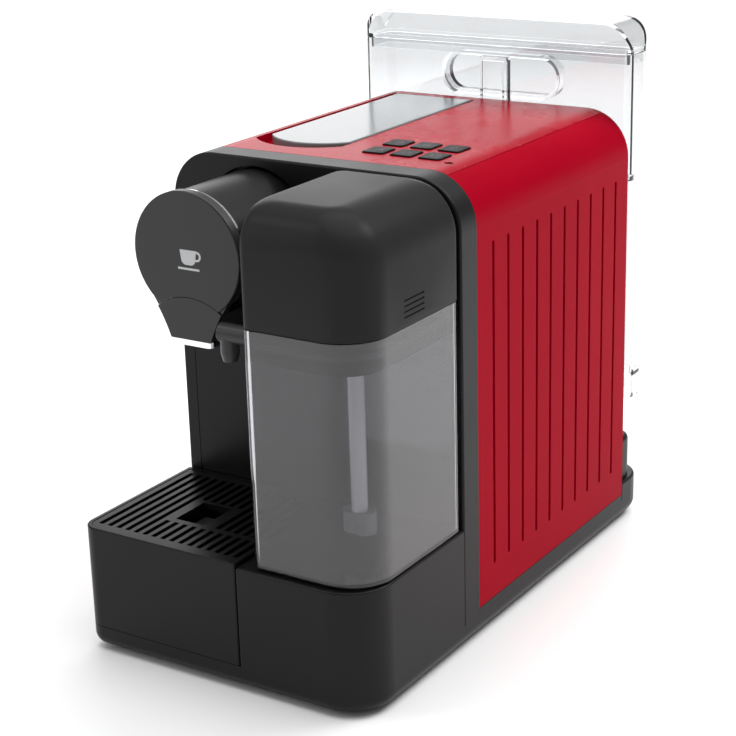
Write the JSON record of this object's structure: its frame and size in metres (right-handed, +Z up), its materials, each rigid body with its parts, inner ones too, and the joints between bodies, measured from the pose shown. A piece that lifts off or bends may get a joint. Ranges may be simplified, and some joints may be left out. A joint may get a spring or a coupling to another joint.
{
  "type": "espresso machine",
  "caption": "Capsule espresso machine with a ribbed red housing, black front, round brew head, milk container at the side and a clear water tank at the back.",
  "frame": {"origin": "on the floor under the middle of the machine's width and depth", "axes": "+Z up, +Y to the back, +X to the machine's right as seen from the front"},
  "size_m": [0.174, 0.316, 0.297],
  "materials": {
    "red_plastic": "satin",
    "black_plastic": "satin",
    "dark_plastic": "satin",
    "grey_plastic": "matte",
    "silver_plastic": "gloss",
    "chrome": "polished",
    "smoke_clear": "gloss",
    "clear_plastic": "gloss",
    "milk_tube": "gloss",
    "rubber": "matte",
    "silicone": "matte",
    "steel": "brushed",
    "aluminium": "cast",
    "circuit_board": "satin",
    "light_lens": "gloss"
  },
  "bodies": {
    "housing": {"outer_shell": "red_plastic", "top_panel": "red_plastic", "base_plate": "black_plastic", "base_plinth": "black_plastic", "front_frame": "black_plastic", "head_surround": "black_plastic", "rear_cover": "black_plastic", "tank_dock": "black_plastic", "cable_gland": "black_plastic", "head_sleeve": "black_plastic", "head_cover": "dark_plastic", "spout_block": "dark_plastic", "pump": "dark_plastic", "inner_chassis": "grey_plastic", "brew_bracket": "grey_plastic", "capsule_guide": "grey_plastic", "button_frame": "grey_plastic", "brew_chamber": "grey_plastic", "coffee_duct": "grey_plastic", "flow_meter": "grey_plastic", "head_emblem": "silver_plastic", "outlet_strip": "chrome", "head_ring": "chrome", "rubber_feet": "rubber", "dock_seal": "rubber", "pump_mounts": "rubber", "suction_hose": "silicone", "feed_hose": "silicone", "base_screws": "steel", "rear_screws": "steel", "lever_pin": "steel", "pressure_hose": "steel", "steam_pipe": "steel", "steam_port": "steel", "thermoblock": "aluminium", "control_board": "circuit_board", "main_board": "circuit_board", "status_light": "light_lens"},
    "drip_tray": {"drip_tray": "black_plastic", "capsule_bin": "black_plastic"},
    "drip_grid": {"drip_grid": "black_plastic"},
    "tray_float": {"tray_float": "dark_plastic"},
    "milk_container": {"milk_container": "smoke_clear"},
    "milk_lid": {"milk_lid": "black_plastic", "lid_seal": "rubber", "milk_frother": "grey_plastic", "suction_tube": "milk_tube", "suction_foot": "grey_plastic"},
    "milk_spout": {"milk_spout": "dark_plastic"},
    "lever": {"lever_plate": "silver_plastic"},
    "brew_piston": {"brew_piston": "grey_plastic"},
    "water_tank": {"water_tank": "clear_plastic"},
    "tank_lid": {"tank_lid": "clear_plastic"},
    "tank_valve": {"tank_valve": "grey_plastic"},
    "button_front_left": {"button_front_left": "black_plastic"},
    "button_front_middle": {"button_front_middle": "black_plastic"},
    "button_front_right": {"button_front_right": "black_plastic"},
    "button_rear_left": {"button_rear_left": "black_plastic"},
    "button_rear_middle": {"button_rear_middle": "black_plastic"},
    "button_rear_right": {"button_rear_right": "black_plastic"}
  },
  "joints": [
    {"name": "tray_slide", "type": "slide", "parent": "housing", "child": "drip_tray", "axis": [0, -1, 0], "range_m": [0, 0.11]},
    {"name": "grid_lift", "type": "slide", "parent": "drip_tray", "child": "drip_grid", "axis": [0, 0, 1], "range_m": [0, 0.03]},
    {"name": "float_rise", "type": "slide", "parent": "drip_tray", "child": "tray_float", "axis": [0, 0, 1], "range_m": [0, 0.005]},
    {"name": "jug_slide", "type": "slide", "parent": "housing", "child": "milk_container", "axis": [0, -1, 0], "range_m": [0, 0.1]},
    {"name": "lid_lift", "type": "slide", "parent": "milk_container", "child": "milk_lid", "axis": [0, 0, 1], "range_m": [0, 0.112]},
    {"name": "spout_swing", "type": "hinge", "parent": "milk_lid", "child": "milk_spout", "pos_m": [0.017, -0.136, 0.18], "axis": [-1, 0, 0], "range_deg": [0, 75]},
    {"name": "lever_lift", "type": "hinge", "parent": "housing", "child": "lever", "pos_m": [-0.035, 0.1125, 0.2466], "axis": [-1, 0, 0], "range_deg": [0, 80]},
    {"name": "piston_slide", "type": "slide", "parent": "housing", "child": "brew_piston", "axis": [0, 1, 0], "range_m": [0, 0.042]},
    {"name": "tank_lift", "type": "slide", "parent": "housing", "child": "water_tank", "axis": [0, 0, 1], "range_m": [0, 0.1]},
    {"name": "tank_lid_lift", "type": "slide", "parent": "water_tank", "child": "tank_lid", "axis": [0, 0, 1], "range_m": [0, 0.03]},
    {"name": "valve_close", "type": "slide", "parent": "water_tank", "child": "tank_valve", "axis": [0, 0, -1], "range_m": [0, 0.0026]},
    {"name": "press_front_left", "type": "slide", "parent": "housing", "child": "button_front_left", "axis": [0, 0, -1], "range_m": [0, 0.0015], "stiffness_N_per_m": 120},
    {"name": "press_front_middle", "type": "slide", "parent": "housing", "child": "button_front_middle", "axis": [0, 0, -1], "range_m": [0, 0.0015], "stiffness_N_per_m": 120},
    {"name": "press_front_right", "type": "slide", "parent": "housing", "child": "button_front_right", "axis": [0, 0, -1], "range_m": [0, 0.0015], "stiffness_N_per_m": 120},
    {"name": "press_rear_left", "type": "slide", "parent": "housing", "child": "button_rear_left", "axis": [0, 0, -1], "range_m": [0, 0.0015], "stiffness_N_per_m": 120},
    {"name": "press_rear_middle", "type": "slide", "parent": "housing", "child": "button_rear_middle", "axis": [0, 0, -1], "range_m": [0, 0.0015], "stiffness_N_per_m": 120},
    {"name": "press_rear_right", "type": "slide", "parent": "housing", "child": "button_rear_right", "axis": [0, 0, -1], "range_m": [0, 0.0015], "stiffness_N_per_m": 120}
  ],
  "couplings": [
    {"joint": "piston_slide", "follows": "lever_lift", "m_per_rad": 0.02865},
    {"joint": "valve_close", "follows": "tank_lift", "ratio": 0.025}
  ]
}
